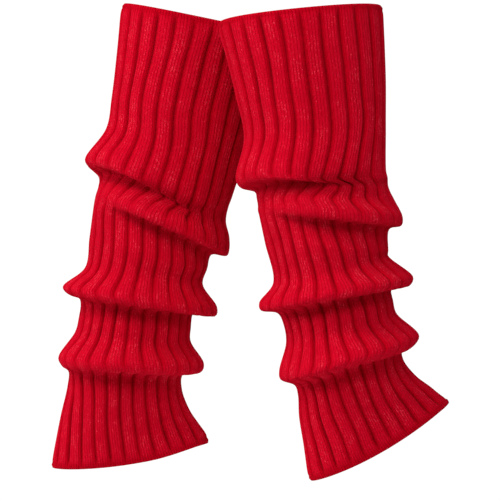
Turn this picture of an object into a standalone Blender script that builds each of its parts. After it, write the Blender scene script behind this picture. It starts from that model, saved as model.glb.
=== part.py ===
"""Pair of slouch leg warmers in chunky red rib knit, in the shape they take when worn.

Each warmer is one hollow knitted tube, open at both rims. Its outer face follows closed rings that
are stated by their left, front, right and back points over the ribs, in millimetres, with bends
where a fold swells, sinks or dies out on the way round. Valleys part the ribs on the outer face and
the inner face is plain. +X is to the right of the front view, +Y goes back, +Z is up, and the
origin lies between the two legs at the height where the upper bands grip the calves.
"""

import math
from collections import namedtuple

import bpy
import numpy as np

MM = 0.001
WALL = 2.2  # the knit's thickness in a valley between ribs
RIB_RISE = 2.4  # how far a rib's face stands above the valleys
RIBS = 24  # ribs round a leg
RIB_PHASE = 12.0  # degrees from +X to the first valley
RIB_SHAPE = ((0.0, 0.0), (0.24, 1.0), (0.76, 1.0))  # (share of the rib's pitch, share of the rise)
WELT_LENGTH = 6.0  # the ribs fade out over this length at both rims
WELT_RISE = 0.65  # height of the smooth edge at a rim, as a share of the ribs' rise
KNIT_COLOUR = (0.578, 0.003, 0.013, 1.0)

Ring = namedtuple(
    "Ring",
    "place left_x left_z front_y front_z right_x right_z back_y back_z "
    "left_lean front_lean right_lean ribs steps",
)
Bend = namedtuple("Bend", "place angle spread out up lean ribs", defaults=(0, 0))

# A lean is how far the ribs shift round the leg there, in degrees. ribs is how far they stand, from
# 0 to 1. steps is the number of mesh rings from this ring to the next.
# A bend moves the ring of its place near one angle from +X and fades out over its spread.
LEFT_RINGS = (
    Ring("top rim", -116, 100, -9, 82, 26, 71, 105, 85, 0, 0, 0, 1, 1),
    Ring("rib start", -117, 91, -9, 73, 25, 63, 105, 77, 0, 0, 0, 1, 2),
    Ring("upper band", -120, 58, -9, 42, 16, 29, 105, 44, 0, -1, 0, 1, 2),
    Ring("lower band", -125, 15, -9, 0, 4, -12, 106, 1, 0, -2, 0, 1, 1),
    Ring("fold 1 foot", -130, -13, -9, -30, -5, -40, 105, -27, 2, 2, 0, 1, 2),
    Ring("fold 1 crest", -149, -41, -16, -63, -17, -75, 109, -56, 4, 9, 2, 0.7, 1),
    Ring("fold 1 lip", -146, -48, -14, -69, -20, -85, 107, -64, 4, 9, 2, 0.12, 2),
    Ring("fold 1 tuck", -137, -57, 2, -70, -22, -97, 96, -76, 0, 3, 0, 0.7, 1),
    Ring("fold 2 slope", -137, -66, -9, -83, -19, -111, 104, -89, -2, -5, 0, 0.7, 1),
    Ring("fold 2 crest", -139, -73, -19, -94, -19, -123, 110, -98, -2, -9, 0, 0.35, 1),
    Ring("fold 2 lip", -140, -77, -17, -100, -21, -128, 108, -103, -2, -9, 0, 0.1, 2),
    Ring("fold 2 tuck", -141, -83, 3, -99, -35, -127, 94, -104, 0, -4, 0, 0.7, 2),
    Ring("long stretch", -145, -112, -4, -127, -39, -140, 100, -125, 0, 0, 2, 1, 1),
    Ring("fold 3 foot", -149, -139, -5, -145, -43, -154, 101, -147, 0, 0, 2, 1, 2),
    Ring("fold 3 crest", -169, -156, -18, -165, -30, -175, 112, -163, 0, 0, 0, 0.4, 1),
    Ring("fold 3 lip", -166, -161, -16, -174, -31, -181, 110, -170, 0, 0, 0, 0.12, 2),
    Ring("fold 3 tuck", -154, -167, 2, -178, -50, -180, 95, -174, 0, 0, 0, 0.6, 1),
    Ring("short stretch", -155, -186, -1, -193, -54, -195, 97, -192, 0, 0, 0, 1, 1),
    Ring("fold 4 foot", -158, -197, -2, -204, -54, -206, 98, -203, 0, 0, 0, 1, 2),
    Ring("fold 4 crest", -173, -220, -18, -222, -42, -226, 112, -224, 0, 0, 0, 0.4, 1),
    Ring("fold 4 lip", -170, -227, -16, -231, -44, -233, 109, -231, 0, 0, 0, 0.12, 2),
    Ring("fold 4 tuck", -164, -233, 6, -236, -61, -236, 90, -236, 0, 0, 0, 0.6, 1),
    Ring("flare top", -165, -246, 9, -250, -62, -249, 88, -250, 0, 0, 0, 1, 1),
    Ring("flare middle", -171, -272, 13, -273, -55, -268, 84, -271, 0, 0, 0, 1, 1),
    Ring("flare low", -176, -297, 17, -295, -45, -281, 80, -291, 0, 0, 0, 1, 1),
    Ring("rib end", -179, -312, 19, -309, -41, -290, 78, -303, 0, 0, 0, 1, 1),
    Ring("bottom rim", -181, -319, 20, -315, -36, -297, 77, -309, 0, 0, 0, 1, 0),
)
LEFT_BENDS = (
    Bend("fold 1 crest", 230, 60, 0, 8),
    Bend("fold 1 lip", 230, 60, 1, 6),
    Bend("fold 1 tuck", 228, 50, 0, 4),
    Bend("fold 1 crest", 300, 30, -3, 0, -1, 0.3),
    Bend("fold 1 crest", 330, 30, -3, 0, -1, 0.3),
    Bend("fold 1 lip", 298, 30, -6, 0, -1, 0.85),
    Bend("fold 1 lip", 328, 30, -6, 0, -1, 0.85),
    Bend("fold 1 tuck", 298, 30, 5, -6, 0, 0.3),
    Bend("fold 1 tuck", 328, 30, 4, -6, 0, 0.3),
    Bend("fold 2 slope", 312, 50, 1, -1, 1, 0.2),
    Bend("fold 2 crest", 316, 50, 0, 0, 3, 0.3),
    Bend("fold 2 lip", 316, 50, 0, 0, 3),
    Bend("fold 2 crest", 195, 55, 0, 0, 0, 0.5),
    Bend("fold 2 lip", 195, 55, 0, 0, 0, 0.7),
    Bend("fold 2 tuck", 228, 46, 6, -2),
    Bend("fold 3 lip", 268, 65, -1, -1, 0, 0.3),
    Bend("fold 3 tuck", 268, 68, 0, -7, 0, 0.2),
    Bend("fold 4 lip", 268, 65, -1, -1, 0, 0.3),
    Bend("fold 4 tuck", 268, 68, 0, -6, 0, 0.2),
    Bend("fold 3 crest", 60, 50, -7, 3),
    Bend("fold 3 lip", 60, 50, -9, 4),
    Bend("fold 3 crest", 130, 40, 3, -4),
    Bend("fold 3 lip", 130, 40, 3, -4),
    Bend("fold 4 crest", 120, 55, -6, 3),
    Bend("fold 4 lip", 120, 55, -8, 3),
    Bend("bottom rim", 328, 45, 0, 2),
)
RIGHT_RINGS = (
    Ring("top rim", -28, 71, -107, 77, 114, 85, 11, 76, 0, 0, 0, 1, 1),
    Ring("rib start", -26, 62, -107, 70, 114, 76, 11, 68, 0, 0, 0, 1, 2),
    Ring("upper band", -20, 41, -107, 46, 115, 51, 10, 46, 0, 0, 0, 1, 2),
    Ring("lower band", -12, 8, -105, 12, 116, 19, 9, 13, 0, 0, 0, 1, 1),
    Ring("fold 1 foot", -5, -27, -105, -24, 116, -19, 8, -23, 0, 0, 0, 1, 2),
    Ring("fold 1 crest", -12, -61, -111, -60, 116, -54, 11, -58, 0, 2, 0, 0.7, 1),
    Ring("fold 1 lip", -8, -68, -109, -65, 117, -61, 9, -64, 0, 3, 0, 0.12, 2),
    Ring("fold 1 tuck", 4, -73, -93, -67, 118, -69, -1, -70, 0, 2, 0, 0.7, 1),
    Ring("fold 2 slope", 6, -79, -103, -80, 123, -80, 6, -80, -3, -9, -4, 0.7, 1),
    Ring("fold 2 crest", 7, -85, -113, -90, 130, -95, 11, -90, -3, -9, -4, 0.35, 1),
    Ring("fold 2 lip", 7, -89, -111, -97, 129, -102, 10, -95, -3, -8, -2, 0.1, 2),
    Ring("fold 2 tuck", 8, -94, -91, -99, 119, -105, -5, -97, 0, -5, 0, 0.7, 2),
    Ring("long stretch", 13, -117, -100, -121, 118, -123, 4, -120, 0, -2, 0, 1, 1),
    Ring("fold 3 foot", 20, -151, -101, -143, 118, -128, 4, -140, 0, 0, 0, 1, 2),
    Ring("fold 3 crest", 8, -168, -114, -157, 139, -146, 14, -158, 0, 0, 0, 0.4, 1),
    Ring("fold 3 lip", 9, -174, -112, -163, 136, -153, 12, -163, 0, 0, 0, 0.12, 2),
    Ring("fold 3 tuck", 24, -177, -94, -165, 121, -156, -3, -168, 0, 0, 0, 0.6, 1),
    Ring("short stretch", 29, -187, -98, -178, 122, -166, 1, -176, 0, 0, 0, 1, 1),
    Ring("fold 4 foot", 31, -202, -99, -192, 125, -177, 2, -190, 0, 0, 0, 1, 2),
    Ring("fold 4 crest", 25, -226, -114, -212, 144, -196, 13, -215, 0, 0, 0, 0.4, 1),
    Ring("fold 4 lip", 26, -233, -111, -221, 137, -206, 10, -223, 0, 0, 0, 0.12, 2),
    Ring("fold 4 tuck", 36, -237, -91, -225, 130, -208, -8, -227, 0, 0, 0, 0.6, 1),
    Ring("flare top", 40, -245, -90, -237, 131, -217, -8, -234, 0, 0, 0, 1, 1),
    Ring("flare middle", 42, -265, -87, -255, 142, -231, -10, -249, 0, 0, 0, 1, 1),
    Ring("flare low", 46, -290, -84, -273, 154, -240, -12, -266, 0, 0, 0, 1, 1),
    Ring("rib end", 49, -312, -82, -286, 164, -245, -14, -283, 0, 0, 0, 1, 1),
    Ring("bottom rim", 50, -320, -81, -293, 171, -251, -15, -290, 0, 0, 0, 1, 0),
)
RIGHT_BENDS = (
    Bend("fold 1 crest", 225, 55, 0, 4),
    Bend("fold 1 lip", 225, 55, 0, 5),
    Bend("fold 1 tuck", 225, 50, 0, 3),
    Bend("fold 1 crest", 306, 30, -2, 0, 0, 0.3),
    Bend("fold 1 crest", 336, 30, -2, 0, 0, 0.3),
    Bend("fold 1 lip", 304, 30, -6, 0, -1, 0.85),
    Bend("fold 1 lip", 334, 30, -5, 0, -1, 0.85),
    Bend("fold 1 tuck", 304, 30, 4, -5, 0, 0.3),
    Bend("fold 1 tuck", 334, 30, 3, -4, 0, 0.3),
    Bend("fold 2 slope", 316, 50, 1, -1, 1, 0.2),
    Bend("fold 2 crest", 318, 50, 0, 0, 3, 0.3),
    Bend("fold 2 crest", 195, 55, 0, 0, 0, 0.5),
    Bend("fold 2 lip", 195, 55, 0, 0, 0, 0.7),
    Bend("fold 2 tuck", 228, 46, 5, -1),
    Bend("fold 3 lip", 272, 65, -1, -1, 0, 0.3),
    Bend("fold 3 tuck", 274, 68, 0, -8, 0, 0.2),
    Bend("fold 4 lip", 272, 65, -1, -1, 0, 0.3),
    Bend("fold 4 tuck", 274, 68, 0, -5, 0, 0.2),
    Bend("fold 3 crest", 75, 50, -5, 4),
    Bend("fold 3 lip", 75, 50, -7, 4),
    Bend("fold 4 crest", 60, 45, 3, -4),
    Bend("fold 4 lip", 60, 45, 3, -4),
    Bend("fold 4 crest", 130, 45, -5, 2),
    Bend("fold 4 lip", 130, 45, -7, 3),
)


def clear_scene():
    for item in list(bpy.data.objects):
        bpy.data.objects.remove(item, do_unlink=True)


def harmonic(left, front, right, back, turn):
    """A value that passes smoothly through its four given ones round the leg."""
    sides, ends = (left + right) / 2, (front + back) / 2
    return (
        (sides + ends) / 2
        + (right - left) / 2 * np.cos(turn)
        + (back - front) / 2 * np.sin(turn)
        + (sides - ends) / 2 * np.cos(2 * turn)
    )


def share_of(bend, degrees):
    """A bend's strength at the given angles: 1 at its own, fading to 0 at its spread."""
    off = np.abs((degrees - bend.angle + 180) % 360 - 180)
    return np.where(off < bend.spread, 0.5 + 0.5 * np.cos(np.pi * off / bend.spread), 0.0)


def ring_curve(ring, bends, degrees):
    """Points on one ring at the given angles, with its bends."""
    turn = np.radians(degrees)
    x = (ring.left_x + ring.right_x) / 2 + (ring.right_x - ring.left_x) / 2 * np.cos(turn)
    y = (ring.front_y + ring.back_y) / 2 + (ring.back_y - ring.front_y) / 2 * np.sin(turn)
    z = harmonic(ring.left_z, ring.front_z, ring.right_z, ring.back_z, turn)
    for bend in bends:
        if bend.place == ring.place:
            share = share_of(bend, degrees)
            x = x + share * bend.out * np.cos(turn)
            y = y + share * bend.out * np.sin(turn)
            z = z + share * bend.up
    return np.stack((x, y, z), axis=-1)


def ring_points(ring, bends, angles):
    """One ring's points at even parts of its length, and how far the ribs stand at each."""
    around = np.arange(0.0, 361.0, 1.5)
    curve = ring_curve(ring, bends, around)
    length = np.concatenate(([0.0], np.cumsum(np.linalg.norm(np.diff(curve, axis=0), axis=1))))
    back_lean = (ring.left_lean + ring.right_lean) / 2
    lean = harmonic(ring.left_lean, ring.front_lean, ring.right_lean, back_lean, np.radians(angles))
    standing = np.full(len(angles), float(ring.ribs))
    for bend in bends:
        if bend.place == ring.place:
            lean = lean + share_of(bend, angles) * bend.lean
            standing = standing + share_of(bend, angles) * bend.ribs
    wanted = (angles + lean) / 360 % 1 * length[-1]
    points = np.stack([np.interp(wanted, length, curve[:, i]) for i in range(3)], axis=-1)
    return points, np.clip(standing, 0.0, 1.0)


def along_the_leg(rings, bends, angles):
    """The smooth wall through the rings as (mesh ring, angle, xyz), and how far its ribs stand."""
    through = [ring_points(ring, bends, angles) for ring in rings]
    knots = np.stack([points for points, _ in through])
    ribs = np.stack([standing for _, standing in through])
    gaps = np.sqrt(np.linalg.norm(np.diff(knots, axis=0), axis=2))[..., None]
    slopes = np.diff(knots, axis=0) / gaps
    inner = (slopes[:-1] * gaps[1:] + slopes[1:] * gaps[:-1]) / (gaps[1:] + gaps[:-1])
    tangents = np.concatenate((slopes[:1], inner, slopes[-1:]))
    wall, standing = [], []
    for i, ring in enumerate(rings[:-1]):
        for step in range(ring.steps):
            t = step / ring.steps
            wall.append(
                (2 * t**3 - 3 * t**2 + 1) * knots[i]
                + (t**3 - 2 * t**2 + t) * gaps[i] * tangents[i]
                + (3 * t**2 - 2 * t**3) * knots[i + 1]
                + (t**3 - t**2) * gaps[i] * tangents[i + 1]
            )
            standing.append(ribs[i] * (1 - t) + ribs[i + 1] * t)
    return np.array(wall + [knots[-1]]), np.array(standing + [ribs[-1]])


def outward(wall):
    """Unit normals of the wall, away from the leg."""
    down = np.gradient(wall, axis=0)
    around = np.roll(wall, -1, axis=1) - np.roll(wall, 1, axis=1)
    normals = np.cross(down, around)
    return normals / np.linalg.norm(normals, axis=2, keepdims=True)


def rib_heights(wall, standing):
    """How high each outer point stands over the valleys: ribs on the leg, a smooth edge at a rim."""
    steps = np.linalg.norm(np.diff(wall, axis=0), axis=2).mean(axis=1)
    run = np.concatenate(([0.0], np.cumsum(steps)))
    ribbed = np.clip(np.minimum(run, run[-1] - run) / WELT_LENGTH, 0.0, 1.0)[:, None]
    form = np.tile([share for _, share in RIB_SHAPE], RIBS)[None, :]
    form = 1 - (1 - form) * standing
    return RIB_RISE * (form * ribbed + WELT_RISE * (1 - ribbed))


def knitted_tube(name, rings, bends, material, collection):
    """One warmer: ribbed outer points over a plain inside, joined by a narrow face at each rim."""
    pitch = 360 / RIBS
    angles = np.array(
        [RIB_PHASE + pitch * (rib + share) for rib in range(RIBS) for share, _ in RIB_SHAPE]
    )
    wall, standing = along_the_leg(rings, bends, angles)
    normals = outward(wall)
    outer = wall - normals * (RIB_RISE - rib_heights(wall, standing))[..., None]
    inner = (wall - normals * (RIB_RISE + WALL))[:, :: len(RIB_SHAPE)]

    count, around, plain = len(wall), len(angles), RIBS
    points = np.concatenate((outer.reshape(-1, 3), inner.reshape(-1, 3))) * MM
    first_inner = count * around
    faces = []
    for row in range(count - 1):
        for col in range(around):
            a, b = row * around + col, row * around + (col + 1) % around
            faces.append((a, a + around, b + around, b))
        for col in range(plain):
            a = first_inner + row * plain + col
            b = first_inner + row * plain + (col + 1) % plain
            faces.append((a, b, b + plain, a + plain))
    for row in (0, count - 1):
        for col in range(plain):
            start = col * len(RIB_SHAPE)
            rim = [row * around + (start + i) % around for i in range(len(RIB_SHAPE) + 1)]
            hem = [first_inner + row * plain + (col + 1) % plain, first_inner + row * plain + col]
            face = rim + hem
            faces.append(tuple(face if row == 0 else reversed(face)))

    mesh = bpy.data.meshes.new(name)
    mesh.from_pydata(points.tolist(), [], faces)
    mesh.shade_smooth()
    mesh.set_sharp_from_angle(angle=math.radians(50))
    mesh.materials.append(material)
    warmer = bpy.data.objects.new(name, mesh)
    collection.objects.link(warmer)
    return warmer


def knit_material():
    material = bpy.data.materials.new("red_rib_knit")
    material.use_nodes = True
    shader = material.node_tree.nodes["Principled BSDF"]
    shader.inputs["Base Color"].default_value = KNIT_COLOUR
    shader.inputs["Roughness"].default_value = 0.9
    shader.inputs["Metallic"].default_value = 0.0
    return material


def build():
    clear_scene()
    collection = bpy.data.collections.new("slouch_leg_warmers")
    bpy.context.scene.collection.children.link(collection)
    material = knit_material()
    knitted_tube("left_leg_warmer", LEFT_RINGS, LEFT_BENDS, material, collection)
    knitted_tube("right_leg_warmer", RIGHT_RINGS, RIGHT_BENDS, material, collection)


build()
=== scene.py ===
"""Looks of the slouch leg warmers: ribbed knit cloth over the frame's two tubes, stage and camera."""

import math
from collections import namedtuple

import bpy
import numpy as np
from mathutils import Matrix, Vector


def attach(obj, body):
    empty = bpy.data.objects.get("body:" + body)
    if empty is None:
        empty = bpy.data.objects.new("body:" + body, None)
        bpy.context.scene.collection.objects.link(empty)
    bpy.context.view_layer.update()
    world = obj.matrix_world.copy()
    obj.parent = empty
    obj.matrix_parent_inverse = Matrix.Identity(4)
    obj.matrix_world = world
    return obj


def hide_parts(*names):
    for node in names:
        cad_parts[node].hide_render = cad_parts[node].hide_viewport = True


MM = 0.001

# The frame
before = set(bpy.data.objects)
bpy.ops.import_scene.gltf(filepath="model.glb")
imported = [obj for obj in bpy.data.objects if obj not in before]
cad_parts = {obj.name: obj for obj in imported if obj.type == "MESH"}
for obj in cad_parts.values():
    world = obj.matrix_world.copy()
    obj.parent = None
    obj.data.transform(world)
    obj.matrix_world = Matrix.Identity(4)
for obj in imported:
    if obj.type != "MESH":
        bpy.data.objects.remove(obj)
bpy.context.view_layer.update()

# The ribs, in millimetres. The rings below are measured over them.
RIBS = 24
PITCH = 360 / RIBS
FIRST_VALLEY = 12.0  # degrees from +X
RIB_RISE = 2.4
# Places across one rib, as shares of its pitch from one valley to the next
RIB_PLACES = (0.0, 0.05, 0.1, 0.15, 0.21, 0.34, 0.5, 0.66, 0.79, 0.85, 0.9, 0.95)
VALLEY_FLOOR = 0.04  # where a valley's floor ends, as a share of the pitch from its middle
SHOULDER = 0.18  # where the rib's face begins
FACE_EDGE = 0.76  # height of the face at its edges, as a share of the rib's rise
# A slow wave over the cloth: its height as a share, the millimetres along the leg for one radian of
# it, the number of waves round the leg, and its start in radians
Wave = namedtuple("Wave", "share per_radian turns start")
SWAY = 0.45  # how far a rib wanders from its even place
SWAY_WAVES = (Wave(1.0, 21, 3, 0), Wave(0.6, 8.5, 5, 1))
UNEVEN = 0.2  # how much lower the ribs stand in places, as a share of their rise
UNEVEN_WAVE = Wave(1.0, 26, 7, 0)
NAP = 0.35  # how far the yarn's nap fills the knit out

# The cloth and its rims, in millimetres
WALL = 1.5  # thickness of the cloth in a valley, without the nap
EDGE_RISE = 0.65  # height of the smooth edge at a rim, as a share of the ribs' rise
EDGE_LENGTH = 11.0  # the ribs fade out over this length at both rims
EDGE_ROUND = 1.6  # how far the cloth's rounded rim draws in
INSIDE_ROUND = 0.4  # the inside's part of that rounding
BIND_OFF = 0.3  # depth of the line above a bound edge, as a share of the ribs' rise: a real groove, also painted darker as shade
BIND_OFF_PLACE = 3.4
BIND_OFF_WIDTH = 1.3
WALES_PER_RIB = 6  # columns of stitches across one rib
COURSE = 1.9  # height of one row of stitches
CREASE_END = 0.35  # depth of a crease at its ends, as a share of its middle's

# The mesh
ROW_STEP = 1.95  # millimetres between its rows along the cloth
RING_STEP = 1.5  # degrees between the points that measure a ring's length
STEPS_BETWEEN_RINGS = 24
INSIDE_SKIP = 3  # the plain inside has a point for every third outer one
INSIDE_ROWS = 2  # and a row for every second outer one
OUTSIDE_EASING = 4  # passes that keep the walls of tight folds apart
INSIDE_EASING = 2
INSIDE_HEIGHT = 0.6  # the ribs' height given to the plain inside, which sets its painted valley shade
WALES_ROUND = RIBS * WALES_PER_RIB

# A ring of the cloth: x or y and z of its four sides in millimetres, how far the ribs lean there in
# degrees, and how far they stand, from 0 where they are stretched flat to 1.
Ring = namedtuple("Ring", "place left_x left_z front_y front_z right_x right_z back_y back_z "
                          "left_lean front_lean right_lean ribs")
# A ring's own form round one angle, which fades out over the spread: the wall goes out and up, and
# the ribs lean and stand further.
Bend = namedtuple("Bend", "place angle spread out up lean ribs", defaults=(0, 0))

LEFT_RINGS = (
    Ring("top rim", -116, 100, -9, 82, 26, 71, 105, 85, 0, 0, 0, 1),
    Ring("rib start", -117, 91, -9, 73, 25, 63, 105, 77, 0, 0, 0, 1),
    Ring("upper band", -120, 58, -9, 42, 16, 29, 105, 44, 0, -1, 0, 1),
    Ring("lower band", -125, 15, -9, 0, 4, -12, 106, 1, 0, -2, 0, 1),
    Ring("fold 1 foot", -130, -13, -9, -30, -5, -40, 105, -27, 2, 2, 0, 1),
    Ring("fold 1 crest", -149, -42, -16, -65, -17, -77, 109, -56, 4, 9, 2, 0.7),
    Ring("fold 1 lip", -146, -48, -14, -70, -20, -85, 107, -64, 4, 9, 2, 0.12),
    Ring("fold 1 tuck", -137, -57, 0, -70, -22, -97, 96, -76, 0, 3, 0, 0.6),
    Ring("fold 2 slope", -137, -66, -8, -83, -19, -111, 104, -89, -2, -5, 0, 0.5),
    Ring("fold 2 crest", -139, -73, -17, -94, -19, -123, 110, -98, -2, -9, 0, 0.2),
    Ring("fold 2 lip", -140, -77, -15, -100, -21, -128, 108, -103, -2, -9, 0, 0.1),
    Ring("fold 2 tuck", -141, -83, 1, -99, -35, -127, 94, -104, 0, -4, 0, 0.7),
    Ring("long stretch", -145, -112, -5, -127, -39, -140, 100, -125, 0, 0, 2, 1),
    Ring("fold 3 foot", -149, -139, -5, -145, -43, -154, 101, -147, 0, 0, 2, 1),
    Ring("fold 3 crest", -169, -156, -18, -165, -30, -175, 112, -163, 0, 0, 0, 0.7),
    Ring("fold 3 lip", -166, -161, -16, -174, -31, -182.5, 110, -170, 0, 0, 0, 0.3),
    Ring("fold 3 tuck", -154, -167, 2, -178, -50, -177.5, 95, -174, 0, 0, 0, 0.7),
    Ring("short stretch", -155, -186, -1, -193, -54, -195, 97, -192, 0, 0, 0, 1),
    Ring("fold 4 foot", -158, -197, -2, -204, -54, -206, 98, -203, 0, 0, 0, 1),
    Ring("fold 4 crest", -173, -220, -18, -222, -42, -226, 112, -224, 0, 0, 0, 0.7),
    Ring("fold 4 lip", -170, -227, -16, -231, -44, -233, 109, -231, 0, 0, 0, 0.3),
    Ring("fold 4 tuck", -164, -233, 6, -236, -61, -236, 90, -236, 0, 0, 0, 0.7),
    Ring("flare top", -165, -246, 9, -250, -62, -249, 88, -250, 0, 0, 0, 1),
    Ring("flare middle", -171, -272, 13, -273, -55, -268, 84, -271, 0, 0, 0, 1),
    Ring("flare low", -176, -297, 17, -295, -46.3, -281, 80, -291, 0, 0, 0, 1),
    Ring("rib end", -179, -312, 19, -309, -39.8, -290, 78, -303, 0, 0, 0, 1),
    Ring("bottom rim", -181, -319, 20, -315, -36, -297, 77, -309, 0, 0, 0, 1),
)
LEFT_BENDS = (
    Bend("fold 1 crest", 230, 60, 0, 8),
    Bend("fold 1 lip", 230, 60, 1, 6),
    Bend("fold 1 tuck", 228, 50, -4, 4),
    Bend("fold 1 crest", 279, 30, -3, 0, 0, 0.3),
    Bend("fold 1 crest", 310, 36, -4, -5, 1, 0.3),
    Bend("fold 1 lip", 276, 28, -7, -1, 0, 0.85),
    Bend("fold 1 lip", 306, 36, -9, -7, 1, 0.85),
    Bend("fold 1 tuck", 280, 30, 3, -5, 0, 0.6),
    Bend("fold 1 tuck", 310, 36, 2, -9, 1, 0.7),
    Bend("fold 2 slope", 282, 36, 0, 0, 0, 0.4),
    Bend("fold 2 slope", 318, 44, 1, -1, 3, 0.6),
    Bend("fold 2 crest", 316, 52, 0, 0, 6, 0.4),
    Bend("fold 2 lip", 316, 52, 0, 0, 6),
    Bend("fold 2 crest", 195, 55, 0, 0, 0, 0.5),
    Bend("fold 2 lip", 195, 55, 0, 0, 0, 0.7),
    Bend("fold 2 tuck", 228, 46, 6, -2),
    Bend("fold 3 crest", 285, 60, 0, 0, 0, -0.35),
    Bend("fold 3 lip", 278, 78, 0, 3, 0, -0.2),
    Bend("fold 3 tuck", 270, 80, -4, 1, 0, 0.2),
    Bend("fold 4 crest", 285, 55, 0, 0, 0, -0.25),
    Bend("fold 4 lip", 268, 65, 0, 3, 0, -0.2),
    Bend("fold 4 tuck", 268, 68, -5, 1, 0, 0.2),
    Bend("fold 3 crest", 60, 50, -7, 3),
    Bend("fold 3 lip", 60, 50, -9, 4),
    Bend("fold 3 crest", 130, 40, 3, -4),
    Bend("fold 3 lip", 130, 40, 3, -4),
    Bend("fold 4 crest", 120, 55, -6, 3),
    Bend("fold 4 lip", 120, 55, -8, 3),
    Bend("bottom rim", 328, 45, 0, 2),
)
RIGHT_RINGS = (
    Ring("top rim", -28, 71, -107, 77, 114, 85, 11, 76, 0, 0, 0, 1),
    Ring("rib start", -26, 62, -107, 70, 114, 76, 11, 68, 0, 0, 0, 1),
    Ring("upper band", -20, 41, -107, 46, 115, 51, 10, 46, 0, 0, 0, 1),
    Ring("lower band", -12, 8, -105, 12, 116, 19, 9, 13, 0, 0, 0, 1),
    Ring("fold 1 foot", -5, -27, -105, -24, 116, -19, 8, -23, 0, 0, 0, 1),
    Ring("fold 1 crest", -12, -63, -112, -60, 116, -56, 11, -58, 0, 2, 0, 0.7),
    Ring("fold 1 lip", -8, -70, -112, -66, 117, -61, 9, -64, 0, 3, 0, 0.12),
    Ring("fold 1 tuck", 4, -73, -95, -65, 118, -69, -1, -70, 0, 2, 0, 0.6),
    Ring("fold 2 slope", 6, -79, -102, -80, 123, -80, 6, -80, -3, -9, -4, 0.5),
    Ring("fold 2 crest", 7, -85, -111, -90, 130, -95, 11, -90, -3, -9, -4, 0.2),
    Ring("fold 2 lip", 7, -89, -109, -97, 129, -102, 10, -95, -3, -8, -2, 0.1),
    Ring("fold 2 tuck", 8, -94, -93, -99, 119, -105, -5, -97, 0, -5, 0, 0.7),
    Ring("long stretch", 13, -117, -101, -121, 118, -123, 4, -120, 0, -2, 0, 1),
    Ring("fold 3 foot", 20, -151, -101, -143, 118, -128, 4, -140, 0, 0, 0, 1),
    Ring("fold 3 crest", 8, -168, -114, -157, 139, -146, 14, -158, 0, 0, 0, 0.7),
    Ring("fold 3 lip", 9, -174, -112, -163, 136, -153, 12, -163, 0, 0, 0, 0.3),
    Ring("fold 3 tuck", 24, -177, -94, -165, 121, -156, -3, -168, 0, 0, 0, 0.7),
    Ring("short stretch", 29, -187, -98, -178, 122, -166, 1, -176, 0, 0, 0, 1),
    Ring("fold 4 foot", 31, -202, -99, -192, 125, -177, 2, -190, 0, 0, 0, 1),
    Ring("fold 4 crest", 25, -226, -114, -212, 144, -196, 13, -215, 0, 0, 0, 0.7),
    Ring("fold 4 lip", 26, -233, -111, -221, 137, -206, 10, -223, 0, 0, 0, 0.3),
    Ring("fold 4 tuck", 38.5, -238.5, -91, -225, 130, -208, -8, -227, 0, 0, 0, 0.7),
    Ring("flare top", 41, -246, -90, -237, 131, -217, -8, -234, 0, 0, 0, 1),
    Ring("flare middle", 42, -265, -87, -255, 142, -231, -10, -249, 0, 0, 0, 1),
    Ring("flare low", 46, -290, -84, -273, 154, -240, -12, -266, 0, 0, 0, 1),
    Ring("rib end", 49, -312, -82, -286, 163.5, -247.3, -14, -283, 0, 0, 0, 1),
    Ring("bottom rim", 50, -320, -81, -293, 171, -251, -15, -290, 0, 0, 0, 1),
)
RIGHT_BENDS = (
    Bend("fold 1 crest", 225, 55, 0, 4),
    Bend("fold 1 lip", 225, 55, 0, 5),
    Bend("fold 1 tuck", 225, 50, 0, 3),
    Bend("fold 1 crest", 282, 30, -3, 0, -3, 0.3),
    Bend("fold 1 crest", 313, 36, -3, 0, -4, 0.3),
    Bend("fold 1 lip", 280, 28, -8, 0, -4, 0.85),
    Bend("fold 1 lip", 309, 36, -8, 0, -5, 0.85),
    Bend("fold 1 tuck", 283, 30, 3, -5, -1, 0.6),
    Bend("fold 1 tuck", 313, 36, 2, -4, -2, 0.7),
    Bend("fold 2 slope", 254, 36, 3, 0),
    Bend("fold 2 slope", 310, 46, -1, -1, 5, 0.6),
    Bend("fold 2 crest", 320, 55, 0, 0, 7, 0.4),
    Bend("fold 2 lip", 320, 55, 0, 0, 6),
    Bend("fold 2 crest", 195, 55, 0, 0, 0, 0.5),
    Bend("fold 2 lip", 195, 55, 0, 0, 0, 0.7),
    Bend("fold 2 tuck", 228, 46, 5, -1),
    Bend("fold 3 crest", 300, 45, 0, 0, 0, -0.3),
    Bend("fold 3 lip", 266, 60, 0, 1, 0, -0.2),
    Bend("fold 3 tuck", 262, 68, -3, -2, 0, 0.2),
    Bend("fold 4 crest", 300, 45, 0, 0, 0, -0.3),
    Bend("fold 4 lip", 268, 65, 0, 3, 0, -0.2),
    Bend("fold 4 tuck", 268, 68, -4, 1, 0, 0.2),
    Bend("fold 3 crest", 75, 50, -5, 4),
    Bend("fold 3 lip", 75, 50, -7, 4),
    Bend("fold 4 crest", 60, 45, 3, -4),
    Bend("fold 4 lip", 60, 45, 3, -4),
    Bend("fold 4 crest", 130, 45, -5, 2),
    Bend("fold 4 lip", 130, 45, -7, 3),
)

# Soft troughs and ridges in the cloth. Each runs between two places along the leg, given as a ring
# and a part of the way to the next one, and two angles round it.
Crease = namedtuple("Crease", "start start_below start_angle end end_below end_angle width out")

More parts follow.
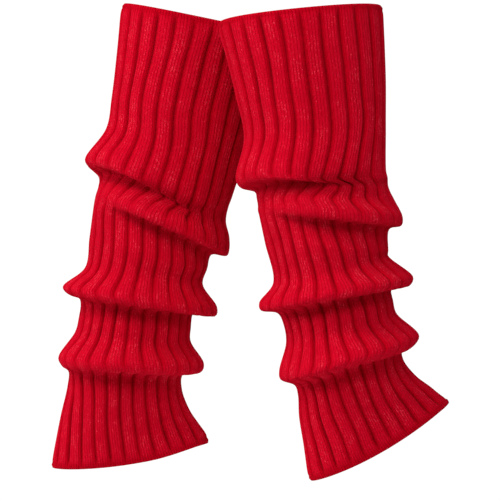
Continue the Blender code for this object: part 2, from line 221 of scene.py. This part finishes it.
LEFT_CREASES = (
    Crease("upper band", 0.3, 236, "lower band", 0.6, 247, 11, 0.7),
    Crease("lower band", 0.4, 262, "fold 1 foot", 0.6, 300, 9, -0.9),
    Crease("fold 1 foot", 0.2, 212, "fold 1 crest", 0.1, 231, 6, 0.9),
    Crease("fold 1 tuck", 0.3, 272, "fold 2 slope", 0.1, 330, 7, -3.0),
    Crease("fold 2 tuck", 0.6, 214, "long stretch", 0.5, 236, 8, -0.8),
    Crease("long stretch", 0.1, 264, "long stretch", 0.9, 289, 10, 0.7),
    Crease("long stretch", 0.6, 322, "fold 3 foot", 0.5, 302, 7, -1.0),
    Crease("fold 3 foot", 0.3, 205, "fold 3 crest", 0.2, 228, 5, 0.9),
    Crease("fold 3 foot", 0.5, 328, "fold 3 crest", 0.3, 347, 6, -1.1),
    Crease("short stretch", 0.2, 300, "fold 4 foot", 0.5, 275, 7, -0.9),
    Crease("fold 4 foot", 0.4, 199, "fold 4 crest", 0.3, 223, 5, 0.8),
    Crease("flare top", 0.3, 205, "flare middle", 0.4, 226, 10, -0.8),
    Crease("lower band", 0.5, 78, "fold 1 foot", 0.7, 117, 10, -1.1),
    Crease("fold 1 tuck", 0.3, 58, "fold 2 slope", 0.3, 104, 7, -1.8),
    Crease("fold 2 tuck", 0.7, 148, "long stretch", 0.8, 127, 8, -0.9),
    Crease("long stretch", 0.2, 42, "long stretch", 0.8, 83, 9, 0.9),
    Crease("fold 3 foot", 0.4, 72, "fold 3 crest", 0.3, 97, 6, 0.9),
    Crease("short stretch", 0.3, 109, "fold 4 foot", 0.6, 141, 7, -1.0),
    Crease("short stretch", 0.5, 22, "fold 4 foot", 0.5, 47, 6, 0.8),
    Crease("flare top", 0.4, 61, "flare middle", 0.6, 84, 11, -0.9),
)
RIGHT_CREASES = (
    Crease("lower band", 0.2, 232, "fold 1 foot", 0.2, 243, 10, 0.7),
    Crease("lower band", 0.5, 288, "fold 1 foot", 0.6, 316, 9, -0.9),
    Crease("fold 1 tuck", 0.3, 274, "fold 1 tuck", 0.7, 330, 7, -2.8),
    Crease("fold 2 tuck", 0.7, 228, "long stretch", 0.4, 206, 7, -0.9),
    Crease("long stretch", 0.2, 290, "fold 3 foot", 0.2, 268, 9, 0.7),
    Crease("fold 3 foot", 0.2, 210, "fold 3 foot", 0.8, 240, 5, 0.9),
    Crease("fold 3 foot", 0.4, 318, "fold 3 crest", 0.2, 336, 5, -1.0),
    Crease("short stretch", 0.2, 222, "fold 4 foot", 0.3, 238, 6, 0.8),
    Crease("short stretch", 0.6, 306, "fold 4 foot", 0.7, 326, 6, -0.9),
    Crease("flare top", 0.5, 262, "flare middle", 0.5, 281, 11, -0.8),
    Crease("lower band", 0.3, 52, "fold 1 foot", 0.5, 83, 11, -1.0),
    Crease("fold 1 tuck", 0.2, 71, "fold 2 slope", 0.2, 112, 7, -1.9),
    Crease("long stretch", 0.1, 134, "long stretch", 0.8, 102, 9, 0.9),
    Crease("long stretch", 0.5, 33, "fold 3 foot", 0.3, 58, 8, -0.9),
    Crease("fold 3 foot", 0.5, 118, "fold 3 crest", 0.3, 146, 6, 0.9),
    Crease("short stretch", 0.2, 64, "fold 4 foot", 0.6, 93, 7, -1.0),
    Crease("flare top", 0.5, 121, "flare middle", 0.5, 98, 11, -0.9),
)

# The stitches' form. A lower power gives a flatter top.
STITCH_LEAN = 0.75  # courses between a stitch's two ends, in its wale's middle and at its edge
LEG_POWER = 0.6
STRAND_POWER = 0.7
STRAND_FLOOR = 0.3  # height between two courses, as a share of a stitch's top
DOME_POWER = 0.7
STITCH_PART = 0.4  # the stitches' part in the yarn's height; the rest is the wale's own roundness

# The yarn's finish, with its painted stitch shade and painted glints. Scales of noise are per metre.
YARN_ROUGHNESS = 0.9
NAP_SHEEN = 0.06
NAP_SHEEN_ROUGHNESS = 0.5
NAP_TINT = (1.0, 0.1, 0.14, 1.0)
DRIFT_SCALE = 45.0
FIBRE_SCALE = 900.0
PATCH_SCALE = 70.0  # patches in which the painted light and shade of the stitches show
PATCH_FLOOR = 0.32
PATCH_GAIN = 3.4
# painted glints: light pinkish specks where the yarn's fuzz catches the light
PAINTED_GLINT_SCALE = 1300.0
PAINTED_GLINT_FLOOR = 0.62
PAINTED_GLINT_GAIN = 5.0
RELIEF_STRENGTH = 0.85
RELIEF_DEPTH = 1.0  # millimetres
FIBRE_RELIEF = 0.5

# What each cause adds to the yarn's lightness: painted shade, painted glints and the yarn's own uneven tone
# painted shade in the valleys, darker where the ribs' height is lower
PAINTED_VALLEY_SHADE_SHARE = 0.42
# painted light and shade of the stitches' relief
PAINTED_STITCH_SHADE_SHARE = 0.30
STITCH_SHARE = 0.10
DRIFT_SHARE = 0.10
FIBRE_SHARE = 0.10
# painted glints
PAINTED_GLINT_SHARE = 0.25

# The yarn's colours by lightness, from the painted shade deep in the valleys to the painted glints
SHADES = (
    (0.05, (0.13, 0.0001, 0.002, 1)),
    (0.30, (0.275, 0.0002, 0.005, 1)),
    (0.55, (0.43, 0.0003, 0.008, 1)),
    (0.82, (0.58, 0.0025, 0.018, 1)),
    (1.0, (1.0, 0.08, 0.12, 1)),
)

# The studio, in metres and watts
FLOOR_RADIUS = 0.62
FLOOR_HEIGHT = -0.53
FLOOR_SIDES = 96
FLOOR_COLOUR = (0.92, 0.92, 0.92, 1)
FLOOR_ROUGHNESS = 0.9
GLOW = 0.30
SEEN_WHITE = 1.05
MIDDLE = Vector((0.0, 0.0, -0.11))
Lamp = namedtuple("Lamp", "name place size power")
LAMPS = (
    Lamp("key_light", (-1.3, -1.25, 2.0), 1.0, 34),
    Lamp("side_light", (-1.9, 0.05, 0.45), 0.6, 24),
    Lamp("fill_light", (0.9, -1.7, 0.45), 1.1, 8),
    Lamp("front_light", (-0.3, -1.7, 1.0), 0.8, 16),
    Lamp("back_light", (0.9, 1.8, 1.1), 1.3, 18),
)
SENSOR = 36.0  # millimetres, as the lens
LENS = 134.6
CAMERA_PLACE = (0.0, -1.646, -0.123)


def harmonic(left, front, right, back, turn):
    """A value that passes smoothly through its four given ones round the leg."""
    sides = (left + right) / 2
    ends = (front + back) / 2
    return (
        (sides + ends) / 2
        + (right - left) / 2 * np.cos(turn)
        + (back - front) / 2 * np.sin(turn)
        + (sides - ends) / 2 * np.cos(2 * turn)
    )


def eased(share):
    """A share from 0 to 1 that starts and ends softly."""
    return share * share * (3 - 2 * share)


def turned(degrees, start):
    """Degrees from the start's angle the shorter way round, from -180 to 180."""
    return (degrees - start + 180) % 360 - 180


def share_of(bend, degrees):
    """A bend's strength at the given angles: 1 at its own, fading to 0 at its spread."""
    off = np.abs(turned(degrees, bend.angle))
    return np.where(off < bend.spread, 0.5 + 0.5 * np.cos(np.pi * off / bend.spread), 0.0)


def ring_curve(ring, bends, degrees):
    """A ring's points at the given angles of its oval."""
    turn = np.radians(degrees)
    x = (ring.left_x + ring.right_x) / 2 + (ring.right_x - ring.left_x) / 2 * np.cos(turn)
    y = (ring.front_y + ring.back_y) / 2 + (ring.back_y - ring.front_y) / 2 * np.sin(turn)
    z = harmonic(ring.left_z, ring.front_z, ring.right_z, ring.back_z, turn)
    for bend in bends:
        share = share_of(bend, degrees)
        x = x + share * bend.out * np.cos(turn)
        y = y + share * bend.out * np.sin(turn)
        z = z + share * bend.up
    return np.stack((x, y, z), axis=-1)


def ring_points(ring, bends, angles):
    """One ring's points at even parts of its length, and how far the ribs stand at each."""
    here = [bend for bend in bends if bend.place == ring.place]
    curve = ring_curve(ring, here, np.arange(0.0, 360.0 + RING_STEP / 2, RING_STEP))
    length = np.concatenate(([0.0], np.cumsum(np.linalg.norm(np.diff(curve, axis=0), axis=1))))
    back_lean = (ring.left_lean + ring.right_lean) / 2
    lean = harmonic(ring.left_lean, ring.front_lean, ring.right_lean, back_lean, np.radians(angles))
    standing = np.full(len(angles), float(ring.ribs))
    for bend in here:
        lean = lean + share_of(bend, angles) * bend.lean
        standing = standing + share_of(bend, angles) * bend.ribs
    wanted = (angles + lean) / 360 % 1 * length[-1]
    points = np.stack([np.interp(wanted, length, curve[:, i]) for i in range(3)], axis=-1)
    return points, np.clip(standing, 0.0, 1.0)


def through_rings(knots):
    """A smooth wall through the rings' points, with the same number of steps between each two."""
    gaps = np.sqrt(np.linalg.norm(np.diff(knots, axis=0), axis=2))[..., None]
    slopes = np.diff(knots, axis=0) / gaps
    inner = (slopes[:-1] * gaps[1:] + slopes[1:] * gaps[:-1]) / (gaps[1:] + gaps[:-1])
    tangents = np.concatenate((slopes[:1], inner, slopes[-1:]))
    wall = []
    for i in range(len(knots) - 1):
        for t in np.arange(STEPS_BETWEEN_RINGS) / STEPS_BETWEEN_RINGS:
            wall.append(
                (2 * t**3 - 3 * t**2 + 1) * knots[i]
                + (t**3 - 2 * t**2 + t) * gaps[i] * tangents[i]
                + (3 * t**2 - 2 * t**3) * knots[i + 1]
                + (t**3 - t**2) * gaps[i] * tangents[i + 1]
            )
    return np.array(wall + [knots[-1]])


def smooth_wall(rings, bends, angles):
    """The tube through the rings in even rows, how far its ribs stand, and each row's place.

    A place is the number of rings passed, and the millimetres run along the cloth.
    """
    rows_through = [ring_points(ring, bends, angles) for ring in rings]
    wall = through_rings(np.stack([points for points, _ in rows_through]))
    ribs = np.stack([standing for _, standing in rows_through])
    steps = np.linalg.norm(np.diff(wall, axis=0), axis=2).mean(axis=1)
    run = np.concatenate(([0.0], np.cumsum(steps)))
    rows = int(round(run[-1] / ROW_STEP)) + 1
    wanted = np.linspace(0.0, run[-1], rows)
    step = np.interp(wanted, run, np.arange(len(run)))
    low = np.minimum(step.astype(int), len(wall) - 2)
    part = (step - low)[:, None, None]
    passed = step / STEPS_BETWEEN_RINGS
    ring = np.minimum(passed.astype(int), len(rings) - 2)
    between = (passed - ring)[:, None]
    standing = ribs[ring] * (1 - between) + ribs[ring + 1] * between
    wall = wall[low] * (1 - part) + wall[low + 1] * part
    return wall, standing, np.stack((passed, wanted), axis=-1)


def round_steps(wall):
    """From each point's neighbour on one side to that on the other, round the leg."""
    return np.roll(wall, -1, axis=1) - np.roll(wall, 1, axis=1)


def unit(ways):
    """The same ways, each of length 1."""
    return ways / np.linalg.norm(ways, axis=2, keepdims=True)


def outward(wall):
    """Unit normals of the wall, away from the leg."""
    return unit(np.cross(np.gradient(wall, axis=0), round_steps(wall)))


def soften(rows, times):
    """The rows drawn towards their neighbours along the cloth, so that a tight fold's wall stays clear."""
    for _ in range(times):
        rows[1:-1] = 0.5 * rows[1:-1] + 0.25 * (rows[:-2] + rows[2:])
    return rows


def wave_at(wave, run, turn):
    """A wave over the sheet, between its share and minus its share."""
    return wave.share * np.sin(run / wave.per_radian + wave.turns * turn + wave.start)


def crease_depths(creases, rings, marks, angles, girth):
    """How far the creases move the cloth outward at each point of the sheet, in millimetres."""
    names = [ring.place for ring in rings]
    passed, run = marks.T
    depth = np.zeros((len(marks), len(angles)))
    for crease in creases:
        start_run = np.interp(names.index(crease.start) + crease.start_below, passed, run)
        end_run = np.interp(names.index(crease.end) + crease.end_below, passed, run)
        across = turned(angles, crease.start_angle)[None, :] * girth / 360
        along = run[:, None] - start_run
        step = np.array(((crease.end_angle - crease.start_angle) * girth / 360, end_run - start_run))
        share = (across * step[0] + along * step[1]) / (step @ step)
        near = np.clip(share, 0.0, 1.0)
        off = np.hypot(across - near * step[0], along - near * step[1]) / crease.width
        swell = CREASE_END + (1 - CREASE_END) * np.sin(np.pi * near)
        depth += crease.out * swell * np.exp(-off * off)
    return depth


def rib_form():
    """Height of the cloth across one rib, from 0 along a valley to 1 in its middle."""
    place = np.array(RIB_PLACES)
    from_valley = np.minimum(place, 1 - place)
    face = eased(np.clip((from_valley - VALLEY_FLOOR) / (SHOULDER - VALLEY_FLOOR), 0.0, 1.0))
    return face * (FACE_EDGE + (1 - FACE_EDGE) * np.sin(np.pi * place))


def rib_heights(standing, to_rim):
    """The outside's height at each point, as a share of the ribs' rise, with smooth bound edges."""
    ribbed = eased(np.clip(to_rim / EDGE_LENGTH, 0.0, 1.0))[:, None]
    form = 1 - (1 - np.tile(rib_form(), RIBS)[None, :]) * standing
    height = form * ribbed + EDGE_RISE * (1 - ribbed)
    line = np.exp(-(((to_rim - BIND_OFF_PLACE) / BIND_OFF_WIDTH) ** 2))
    return height * (1 - BIND_OFF * line)[:, None]


def knit_wall(rings, bends, creases, angles):
    """The creased wall with swaying ribs: its points, how far the ribs stand, the rows' run and the girth."""
    wall, standing, marks = smooth_wall(rings, bends, angles)
    run = marks[:, 1][:, None]
    turn = np.radians(angles)[None, :]
    girth = np.linalg.norm(np.roll(wall, -1, axis=1) - wall, axis=2).sum(axis=1).mean()
    sway = SWAY * sum(wave_at(wave, run, turn) for wave in SWAY_WAVES)
    wall = wall + unit(round_steps(wall)) * sway[..., None]
    standing = standing * (1 - UNEVEN * (0.5 + 0.5 * wave_at(UNEVEN_WAVE, run, turn)))
    wall = wall + outward(wall) * crease_depths(creases, rings, marks, angles, girth)[..., None]
    return wall, standing, marks[:, 1], girth


def both_faces(wall, height, to_rim):
    """The cloth's ribbed outside and plain inside, which come close at the rounded rims."""
    normals = soften(outward(wall), OUTSIDE_EASING)
    draw_in = EDGE_ROUND * (1 - np.sqrt(1 - np.clip(1 - to_rim / EDGE_ROUND, 0.0, 1.0) ** 2))[:, None]
    outside = wall - normals * (RIB_RISE * (1 - height) - NAP + draw_in)[..., None]
    inside = wall - normals * (RIB_RISE + WALL - INSIDE_ROUND * draw_in)[..., None]
    return outside, soften(inside, INSIDE_EASING)


def sheet_faces(first, across, along, faces_in):
    """Four-sided faces over a grid of points, and each corner's place on the knit in wales and courses."""
    columns = len(across)
    faces = []
    places = []
    for row in range(len(along) - 1):
        v0 = along[row]
        v1 = along[row + 1]
        for column in range(columns):
            following = (column + 1) % columns
            a = first + row * columns + column
            b = first + row * columns + following
            u0 = across[column]
            u1 = across[following] if following else WALES_ROUND
            if faces_in:
                faces.append((a, b, b + columns, a + columns))
                places.append(((u0, v0), (u1, v0), (u1, v1), (u0, v1)))
            else:
                faces.append((a, a + columns, b + columns, b))
                places.append(((u0, v0), (u0, v1), (u1, v1), (u1, v0)))
    return faces, places


def rim_faces(outside_first, inside_first, across, along, faces_down):
    """The narrow ring of faces that joins the outside's last row to the inside's at one rim."""
    around = len(across)
    plain = around // INSIDE_SKIP
    faces = []
    places = []
    for column in range(plain):
        rim = [(column * INSIDE_SKIP + i) % around for i in range(INSIDE_SKIP + 1)]
        face = [outside_first + c for c in rim]
        face += [inside_first + (column + 1) % plain, inside_first + column]
        place = [(across[c] if i == 0 or c else WALES_ROUND, along) for i, c in enumerate(rim)]
        place += [(place[-1][0], along), (place[0][0], along)]
        if faces_down:
            face.reverse()
            place.reverse()
        faces.append(tuple(face))
        places.append(tuple(place))
    return faces, places


def tube_faces(across, along, kept):
    """The faces of the outside, the inside and both rims, and their corners' places on the knit.

    The points are the outside's rows from the top, then the inside's, which are the kept ones of these.
    """
    around = len(across)
    last = (len(along) - 1) * around
    inside_first = last + around
    inside_last = inside_first + (len(kept) - 1) * (around // INSIDE_SKIP)
    faces = []
    places = []
    for more_faces, more_places in (
        sheet_faces(0, across, along, faces_in=False),
        sheet_faces(inside_first, across[::INSIDE_SKIP], along[kept], faces_in=True),
        rim_faces(0, inside_first, across, along[0], faces_down=False),
        rim_faces(last, inside_last, across, along[-1], faces_down=True),
    ):
        faces += more_faces
        places += more_places
    return faces, places


def knit_tube(name, rings, bends, creases, material):
    """One warmer's cloth as a closed mesh with its knit map and its ribs' height, its girth and length."""
    angles = np.array([FIRST_VALLEY + PITCH * (rib + place) for rib in range(RIBS) for place in RIB_PLACES])
    wall, standing, run, girth = knit_wall(rings, bends, creases, angles)
    to_rim = np.minimum(run, run[-1] - run)
    height = rib_heights(standing, to_rim)
    outside, inside = both_faces(wall, height, to_rim)
    kept = np.unique(np.concatenate((np.arange(0, len(run), INSIDE_ROWS), [len(run) - 1])))
    inside = inside[kept][:, ::INSIDE_SKIP]

    across = (angles - FIRST_VALLEY) / PITCH * WALES_PER_RIB
    faces, places = tube_faces(across, run / COURSE, kept)

    mesh = bpy.data.meshes.new(name)
    points = np.concatenate((outside.reshape(-1, 3), inside.reshape(-1, 3))) * MM
    mesh.from_pydata(points.tolist(), [], faces)
    knit_map = mesh.uv_layers.new(name="knit")
    knit_map.data.foreach_set("uv", np.array([corner for place in places for corner in place]).ravel())
    # the ribs' height also sets the material's painted shade, darker in the valleys and on the line above
    # each bound edge
    rib_height = mesh.attributes.new("rib_height", "FLOAT", "POINT")
    plain_heights = np.full(inside.shape[0] * inside.shape[1], INSIDE_HEIGHT)
    rib_height.data.foreach_set("value", np.concatenate((height.ravel(), plain_heights)))
    mesh.shade_smooth()
    mesh.materials.append(material)
    cloth = bpy.data.objects.new(name, mesh)
    bpy.context.scene.collection.objects.link(cloth)
    return cloth, girth, run[-1]


def add(tree, kind, **values):
    """A new node in the tree with the given settings."""
    node = tree.nodes.new(kind)
    for key, value in values.items():
        setattr(node, key, value)
    return node


def maths(tree, operation, *inputs, clamp=False):
    """The output of a new maths node fed by numbers or sockets."""
    node = add(tree, "ShaderNodeMath", operation=operation, use_clamp=clamp)
    for socket, value in zip(node.inputs, inputs):
        if isinstance(value, (int, float)):
            socket.default_value = value
        else:
            tree.links.new(value, socket)
    return node.outputs[0]


def bulge(tree, share, power):
    """A round hump from 0 up to 1 and back over a share from 0 to 1. A lower power flattens its top."""
    hump = maths(tree, "SINE", maths(tree, "MULTIPLY", share, math.pi))
    return maths(tree, "POWER", maths(tree, "MAXIMUM", hump, 0.0), power)


def stitch_group():
    """Stocking stitch on a knit map counted in wales and courses: yarn height and a shade per stitch."""
    group = bpy.data.node_groups.new("stocking_stitch", "ShaderNodeTree")
    group.interface.new_socket("Knit map", in_out="INPUT", socket_type="NodeSocketVector")
    group.interface.new_socket("Lean", in_out="INPUT", socket_type="NodeSocketFloat")
    group.interface.new_socket("Yarn", in_out="OUTPUT", socket_type="NodeSocketFloat")
    group.interface.new_socket("Stitch shade", in_out="OUTPUT", socket_type="NodeSocketFloat")
    given = add(group, "NodeGroupInput")
    out = add(group, "NodeGroupOutput")
    split = add(group, "ShaderNodeSeparateXYZ")
    group.links.new(given.outputs["Knit map"], split.inputs[0])
    wales = split.outputs[0]
    courses = split.outputs[1]

    wale = maths(group, "FRACT", wales)
    from_middle = maths(group, "ABSOLUTE", maths(group, "SUBTRACT", maths(group, "MULTIPLY", wale, 2.0), 1.0))
    leg = bulge(group, from_middle, LEG_POWER)
    leaning = maths(group, "ADD", courses, maths(group, "MULTIPLY", from_middle, given.outputs["Lean"]))
    strand = bulge(group, maths(group, "FRACT", leaning), STRAND_POWER)
    strand = maths(group, "ADD", maths(group, "MULTIPLY", strand, 1 - STRAND_FLOOR), STRAND_FLOOR)
    stitch = maths(group, "MULTIPLY", maths(group, "MULTIPLY", leg, strand), STITCH_PART)
    dome = bulge(group, wale, DOME_POWER)
    yarn = maths(group, "ADD", stitch, maths(group, "MULTIPLY", dome, 1 - STITCH_PART))
    group.links.new(yarn, out.inputs["Yarn"])

    cell = add(group, "ShaderNodeCombineXYZ")
    group.links.new(maths(group, "FLOOR", maths(group, "MULTIPLY", wales, 2.0)), cell.inputs[0])
    group.links.new(maths(group, "FLOOR", leaning), cell.inputs[1])
    chance = add(group, "ShaderNodeTexWhiteNoise", noise_dimensions="2D")
    group.links.new(cell.outputs[0], chance.inputs["Vector"])
    group.links.new(chance.outputs["Value"], out.inputs["Stitch shade"])
    return group


def noise(tree, place, scale, detail=2.0):
    """Cloudy noise at the cloth's own coordinates. The scale is per metre."""
    clouds = add(tree, "ShaderNodeTexNoise")
    clouds.inputs["Scale"].default_value = scale
    clouds.inputs["Detail"].default_value = detail
    tree.links.new(place, clouds.inputs["Vector"])
    return clouds.outputs["Fac"]


def above(tree, value, floor, gain):
    """How far a value is above the floor, times the gain, from 0 to 1."""
    return maths(tree, "MULTIPLY", maths(tree, "SUBTRACT", value, floor), gain, clamp=True)


def yarn_colour(tree, lightness):
    """The red yarn's colour for a lightness from 0, the painted shade deep in a valley, to 1, a painted glint
    on a light speck.
    """
    shades = add(tree, "ShaderNodeValToRGB")
    stops = shades.color_ramp.elements
    for stop, (position, colour) in zip(stops, (SHADES[0], SHADES[-1])):
        stop.position = position
        stop.color = colour
    for position, colour in SHADES[1:-1]:
        stops.new(position).color = colour
    tree.links.new(lightness, shades.inputs["Fac"])
    return shades.outputs["Color"]


def knit_material(stitches):
    """Red acrylic rib knit: stitches, fine fibres, painted soft shade in the valleys and between the
    stitches, painted glints on light specks, and a light nap.
    """
    material = bpy.data.materials.new("red_rib_knit_cloth")
    material.use_nodes = True
    tree = material.node_tree
    shader = tree.nodes["Principled BSDF"]
    shader.inputs["Metallic"].default_value = 0.0
    shader.inputs["Roughness"].default_value = YARN_ROUGHNESS
    shader.inputs["Sheen Weight"].default_value = NAP_SHEEN
    shader.inputs["Sheen Roughness"].default_value = NAP_SHEEN_ROUGHNESS
    shader.inputs["Sheen Tint"].default_value = NAP_TINT
    shader.inputs["Specular IOR Level"].default_value = 0.0

    knit_map = add(tree, "ShaderNodeUVMap", uv_map="knit")
    stitch = add(tree, "ShaderNodeGroup", node_tree=stitches)
    stitch.inputs["Lean"].default_value = STITCH_LEAN
    tree.links.new(knit_map.outputs[0], stitch.inputs["Knit map"])
    yarn = stitch.outputs["Yarn"]
    # the ribs' height, which paints shade into the valleys
    rib = add(tree, "ShaderNodeAttribute", attribute_name="rib_height").outputs["Fac"]
    place = add(tree, "ShaderNodeTexCoord").outputs["Object"]
    drift = noise(tree, place, DRIFT_SCALE, detail=3.0)
    fibre = noise(tree, place, FIBRE_SCALE)
    patch = above(tree, noise(tree, place, PATCH_SCALE), PATCH_FLOOR, PATCH_GAIN)
    # painted glints where the yarn's fuzz catches the light, as light specks
    painted_glint = above(tree, noise(tree, place, PAINTED_GLINT_SCALE, detail=1.0), PAINTED_GLINT_FLOOR, PAINTED_GLINT_GAIN)

    # painted light and shade of the stitches: lighter on the yarn, darker between the wales and courses,
    # stronger in patches
    wales = maths(tree, "MULTIPLY", maths(tree, "SUBTRACT", yarn, 0.5), patch)
    lightness = maths(tree, "MULTIPLY", rib, PAINTED_VALLEY_SHADE_SHARE)
    for cause, share in (
        (maths(tree, "ADD", wales, 0.5), PAINTED_STITCH_SHADE_SHARE),
        (stitch.outputs["Stitch shade"], STITCH_SHARE),
        (drift, DRIFT_SHARE),
        (fibre, FIBRE_SHARE),
        (painted_glint, PAINTED_GLINT_SHARE),
    ):
        lightness = maths(tree, "ADD", lightness, maths(tree, "MULTIPLY", cause, share))
    tree.links.new(yarn_colour(tree, lightness), shader.inputs["Base Color"])

    bump = add(tree, "ShaderNodeBump")
    bump.inputs["Strength"].default_value = RELIEF_STRENGTH
    bump.inputs["Distance"].default_value = RELIEF_DEPTH * MM
    relief = maths(tree, "ADD", yarn, maths(tree, "MULTIPLY", fibre, FIBRE_RELIEF))
    tree.links.new(relief, bump.inputs["Height"])
    tree.links.new(bump.outputs["Normal"], shader.inputs["Normal"])
    return material


def dress(name, node, rings, bends, creases, material):
    """Knits one warmer's cloth in the place of its solid."""
    cloth, girth, length = knit_tube(name, rings, bends, creases, material)
    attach(cloth, "root")
    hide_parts(node)


def pale_floor():
    """A round studio floor well below the warmers."""
    material = bpy.data.materials.new("pale_floor")
    material.use_nodes = True
    shader = material.node_tree.nodes["Principled BSDF"]
    shader.inputs["Base Color"].default_value = FLOOR_COLOUR
    shader.inputs["Roughness"].default_value = FLOOR_ROUGHNESS
    bpy.ops.mesh.primitive_circle_add(
        vertices=FLOOR_SIDES, radius=FLOOR_RADIUS, fill_type="NGON", location=(0, 0, FLOOR_HEIGHT)
    )
    floor = bpy.context.object
    floor.name = "studio_floor"
    floor.data.materials.append(material)


def background(tree, strength):
    """White light from all round."""
    white = add(tree, "ShaderNodeBackground")
    white.inputs["Color"].default_value = (1, 1, 1, 1)
    white.inputs["Strength"].default_value = strength
    return white.outputs[0]


def white_surroundings():
    """A world that the camera sees as white and that lights the cloth more faintly."""
    world = bpy.data.worlds.new("white_studio")
    world.use_nodes = True
    bpy.context.scene.world = world
    tree = world.node_tree
    tree.nodes.clear()
    path = add(tree, "ShaderNodeLightPath")
    mix = add(tree, "ShaderNodeMixShader")
    out = add(tree, "ShaderNodeOutputWorld")
    tree.links.new(path.outputs["Is Camera Ray"], mix.inputs[0])
    tree.links.new(background(tree, GLOW), mix.inputs[1])
    tree.links.new(background(tree, SEEN_WHITE), mix.inputs[2])
    tree.links.new(mix.outputs[0], out.inputs["Surface"])


def hang(lamp):
    """An area light at the lamp's place, aimed at the middle of the warmers."""
    shape = bpy.data.lights.new(lamp.name, "AREA")
    shape.size = lamp.size
    shape.energy = lamp.power
    light = bpy.data.objects.new(lamp.name, shape)
    light.location = lamp.place
    light.rotation_mode = "QUATERNION"
    light.rotation_quaternion = (MIDDLE - Vector(lamp.place)).to_track_quat("-Z", "Y")
    bpy.context.scene.collection.objects.link(light)


def photo_camera():
    """The camera, level with the warmers' middle and looking along +Y."""
    lens = bpy.data.cameras.new("photo_camera")
    lens.sensor_width = SENSOR
    lens.lens = LENS
    view = bpy.data.objects.new("photo_camera", lens)
    view.location = CAMERA_PLACE
    view.rotation_euler = (math.radians(90), 0, 0)
    bpy.context.scene.collection.objects.link(view)
    bpy.context.scene.camera = view


def main():
    """The two warmers in their studio."""
    bpy.context.scene.view_settings.view_transform = "Standard"
    knit = knit_material(stitch_group())
    dress("left_knit_warmer", "left_leg_warmer", LEFT_RINGS, LEFT_BENDS, LEFT_CREASES, knit)
    dress("right_knit_warmer", "right_leg_warmer", RIGHT_RINGS, RIGHT_BENDS, RIGHT_CREASES, knit)
    pale_floor()
    white_surroundings()
    for lamp in LAMPS:
        hang(lamp)
    photo_camera()


main()
